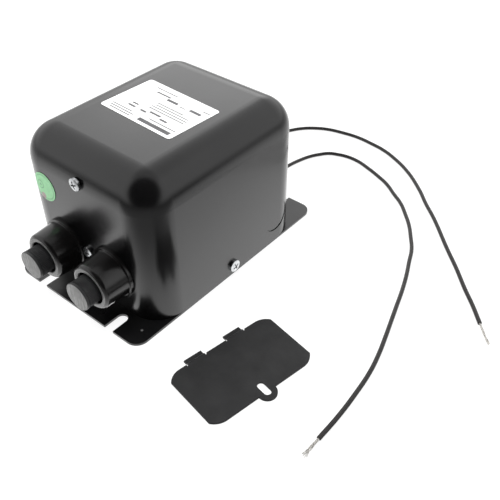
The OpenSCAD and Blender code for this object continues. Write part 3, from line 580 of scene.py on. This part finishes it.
printed_bar = printed_bar_group()
foil = Finish("white_foil", roughness=0.4, specular=0.4)
printed = None
for across, along, width, height in label_bars:
    bar = foil.nodes.new("ShaderNodeGroup")
    bar.node_tree = printed_bar
    bar.inputs["Middle"].default_value = label_middle
    bar.inputs["Turn"].default_value = -label_turn
    bar.inputs["Offset"].default_value = (label_middle[0] + across / 1000, label_middle[1] + along / 1000, 0)
    bar.inputs["Half Size"].default_value = (width / 2000, height / 2000, 1)
    if printed is None:
        printed = bar.outputs["Mask"]
    else:
        either = foil.nodes.new("ShaderNodeMath")
        either.operation = "MAXIMUM"
        foil.links.new(printed, either.inputs[0])
        foil.links.new(bar.outputs["Mask"], either.inputs[1])
        printed = either.outputs["Value"]
worn_print = foil.mix(foil.uneven(1500, 0, 1), (0.05, 0.05, 0.053), (0.10, 0.10, 0.104))
foil.colour(foil.mix(printed, foil.mix(foil.uneven(90, 0, 1), (0.93, 0.93, 0.93), (0.97, 0.97, 0.97)), worn_print))
foil.rough(foil.uneven(400, 0.35, 0.5))
wear("rating_label", foil)

# Round sticker: pale green paper on the left front corner, with two thin printed rings and a spot
# where the paper is rubbed through.
sticker_middle = (-0.0317, -0.0665, 0.0643)


def printed_ring_group():
    """A ring, or with no radius a disc, on the front wall: 1 on it and 0 elsewhere."""
    group = bpy.data.node_groups.new("printed_ring", "ShaderNodeTree")
    socket(group, "Middle", "INPUT", "NodeSocketVector", (0.0, 0.0, 0.0))
    socket(group, "Radius", "INPUT", value=0.005)
    socket(group, "Half Width", "INPUT", value=0.0003)
    socket(group, "Mask", "OUTPUT")
    inputs = group.nodes.new("NodeGroupInput")
    place = group.nodes.new("ShaderNodeTexCoord")
    steps = [group.nodes.new("ShaderNodeVectorMath") for _ in range(3)]
    for step, operation in zip(steps, ("SUBTRACT", "MULTIPLY", "LENGTH")):
        step.operation = operation
    steps[1].inputs[1].default_value = (1, 0, 1)
    away = group.nodes.new("ShaderNodeMath")
    away.operation = "SUBTRACT"
    apart = group.nodes.new("ShaderNodeMath")
    apart.operation = "ABSOLUTE"
    inside = group.nodes.new("ShaderNodeMath")
    inside.operation = "SUBTRACT"
    edge = group.nodes.new("ShaderNodeMapRange")
    edge.inputs["From Min"].default_value = -0.0001
    edge.inputs["From Max"].default_value = 0.0001
    outputs = group.nodes.new("NodeGroupOutput")
    group.links.new(place.outputs["Object"], steps[0].inputs[0])
    group.links.new(inputs.outputs["Middle"], steps[0].inputs[1])
    group.links.new(steps[0].outputs["Vector"], steps[1].inputs[0])
    group.links.new(steps[1].outputs["Vector"], steps[2].inputs[0])
    group.links.new(steps[2].outputs["Value"], away.inputs[0])
    group.links.new(inputs.outputs["Radius"], away.inputs[1])
    group.links.new(away.outputs["Value"], apart.inputs[0])
    group.links.new(inputs.outputs["Half Width"], inside.inputs[0])
    group.links.new(apart.outputs["Value"], inside.inputs[1])
    group.links.new(inside.outputs["Value"], edge.inputs["Value"])
    group.links.new(edge.outputs["Result"], outputs.inputs["Mask"])
    return group


printed_ring = printed_ring_group()
paper = Finish("pale_green_paper", roughness=0.5, specular=0.4)
tint = paper.mix(paper.uneven(300, 0, 1), (0.30, 0.66, 0.34), (0.38, 0.76, 0.42))
for across, up, radius, half_width, ink in (
        (0.0, 0.0, 8.0, 0.35, (0.22, 0.52, 0.27)), (-3.4, 0.6, 2.6, 0.35, (0.20, 0.46, 0.24)),
        (-3.4, 0.6, 0.0, 0.9, (0.20, 0.46, 0.24)), (-2.5, -7.0, 0.0, 2.1, (0.42, 0.34, 0.33))):
    ring = paper.nodes.new("ShaderNodeGroup")
    ring.node_tree = printed_ring
    ring.inputs["Middle"].default_value = (sticker_middle[0] + across / 1000, sticker_middle[1],
                                           sticker_middle[2] + up / 1000)
    ring.inputs["Radius"].default_value = radius / 1000
    ring.inputs["Half Width"].default_value = half_width / 1000
    tint = paper.mix(ring.outputs["Mask"], tint, ink)
paper.colour(tint)
paper.rough(paper.uneven(700, 0.42, 0.58))
wear("inspection_sticker", paper)

# Cover plate: stamped sheet in satin black.
satin = Finish("satin_black", roughness=0.5, specular=0.25)
satin.colour(satin.mix(satin.uneven(80, 0, 1), (0.017, 0.017, 0.0175), (0.023, 0.023, 0.0235)))
satin.rough(satin.uneven(300, 0.46, 0.58))
satin.bump(satin.uneven(1300, 0, 1), 0.2, 0.00005, under=satin.eased(0.0003))
wear("cover_plate", satin)

# Floor: a white table top lit from below as well, so that it stays white under the object. What it
# mirrors back into the gloss is a card of its own just below it: bright close to the can, dimmer
# far away, and dark in front of the can's near corner.
bpy.ops.object.select_all(action="DESELECT")
bpy.ops.mesh.primitive_plane_add(size=8, location=(0, 0, 0))
floor = bpy.context.object
floor.name = "floor"
floor.visible_glossy = False
table_top = Finish("white_table_top", roughness=0.8, specular=0.2)
table_top.colour(table_top.mix(table_top.uneven(3, 0, 1), (0.22, 0.22, 0.22), (0.25, 0.25, 0.25)))
table_top.shader.inputs["Emission Color"].default_value = (1, 1, 1, 1)
table_top.shader.inputs["Emission Strength"].default_value = 0.86
floor.data.materials.append(table_top.material)

can_half = (0.054, 0.0665)
bpy.ops.mesh.primitive_plane_add(size=8, location=(0, 0, -0.0006))
card = bpy.context.object
card.name = "mirror_card"
card.visible_camera = False
card.visible_diffuse = False
card.visible_transmission = False
card.visible_shadow = False


def eased_ramp(tree, value, start, full, low, high):
    """A value that goes smoothly from low, where the given one is start, to high, where it is full."""
    ramp = tree.nodes.new("ShaderNodeMapRange")
    ramp.interpolation_type = "SMOOTHSTEP"
    for name, setting in (("From Min", start), ("From Max", full), ("To Min", low), ("To Max", high)):
        ramp.inputs[name].default_value = setting
    tree.links.new(value, ramp.inputs["Value"])
    return ramp.outputs["Result"]


def product(tree, values):
    """All the values multiplied together."""
    total = values[0]
    for value in values[1:]:
        node = tree.nodes.new("ShaderNodeMath")
        node.operation = "MULTIPLY"
        tree.links.new(total, node.inputs[0])
        tree.links.new(value, node.inputs[1])
        total = node.outputs["Value"]
    return total


def towards(tree, place, direction):
    """How far a place lies in a direction."""
    node = tree.nodes.new("ShaderNodeVectorMath")
    node.operation = "DOT_PRODUCT"
    node.inputs[1].default_value = direction
    tree.links.new(place, node.inputs[0])
    return node.outputs["Value"]


glow = bpy.data.materials.new("card_glow")
glow.use_nodes = True
tree = glow.node_tree
tree.nodes.clear()
place = tree.nodes.new("ShaderNodeTexCoord").outputs["Object"]
sides = tree.nodes.new("ShaderNodeVectorMath")
sides.operation = "ABSOLUTE"
beyond = tree.nodes.new("ShaderNodeVectorMath")
beyond.operation = "SUBTRACT"
beyond.inputs[1].default_value = (*can_half, 0)
split = tree.nodes.new("ShaderNodeSeparateXYZ")
away = tree.nodes.new("ShaderNodeMath")
away.operation = "MAXIMUM"
tree.links.new(place, sides.inputs[0])
tree.links.new(sides.outputs["Vector"], beyond.inputs[0])
tree.links.new(beyond.outputs["Vector"], split.inputs["Vector"])
tree.links.new(split.outputs["X"], away.inputs[0])
tree.links.new(split.outputs["Y"], away.inputs[1])
near_glow = eased_ramp(tree, away.outputs["Value"], 0.01, 0.085, 1.75, 1.42)
far_glow = eased_ramp(tree, away.outputs["Value"], 0.1, 0.6, 1.0, 0.52)
corner_glow = eased_ramp(tree, towards(tree, place, (0.67, -0.74, 0)), 0.08, 0.16, 1.0, 0.32)
light = tree.nodes.new("ShaderNodeEmission")
end = tree.nodes.new("ShaderNodeOutputMaterial")
tree.links.new(product(tree, [near_glow, corner_glow, far_glow]), light.inputs["Strength"])
tree.links.new(light.outputs["Emission"], end.inputs["Surface"])
card.data.materials.append(glow)

# Studio light: a white room with one wide window low behind the can, a dark place in front where
# nothing is lit, a dim horizon, and a soft box overhead that whitens paper and floor without shine.
bpy.ops.object.select_all(action="DESELECT")
bpy.ops.object.light_add(type="AREA", location=(-0.1, -0.2, 1.5))
soft_box = bpy.context.object
soft_box.name = "soft_box"
soft_box.data.size = 1.4
soft_box.data.energy = 23
soft_box.visible_glossy = False

room = bpy.data.worlds.new("studio")
bpy.context.scene.world = room
room.use_nodes = True
tree = room.node_tree
tree.nodes.clear()
place = tree.nodes.new("ShaderNodeTexCoord").outputs["Generated"]
up = (0.0, 0.0, 1.0)
window = eased_ramp(tree, towards(tree, place, (-0.583, 0.694, 0.423)), 0.93, 0.995, 1.58, 3.1)
shade = eased_ramp(tree, towards(tree, place, (0.471, -0.604, 0.643)), 0.5, 0.75, 1.0, 0.02)
ceiling = eased_ramp(tree, towards(tree, place, up), 0.7, 0.95, 1.0, 0.6)
horizon = eased_ramp(tree, towards(tree, place, up), 0.0, 0.2, 0.5, 1.0)
white_backdrop = 1.4
seen = tree.nodes.new("ShaderNodeLightPath")
choose = tree.nodes.new("ShaderNodeMix")
choose.inputs[3].default_value = white_backdrop
light = tree.nodes.new("ShaderNodeBackground")
end = tree.nodes.new("ShaderNodeOutputWorld")
tree.links.new(seen.outputs["Is Camera Ray"], choose.inputs["Factor"])
tree.links.new(product(tree, [window, shade, ceiling, horizon]), choose.inputs[2])
tree.links.new(choose.outputs[0], light.inputs["Strength"])
tree.links.new(light.outputs["Background"], end.inputs["Surface"])
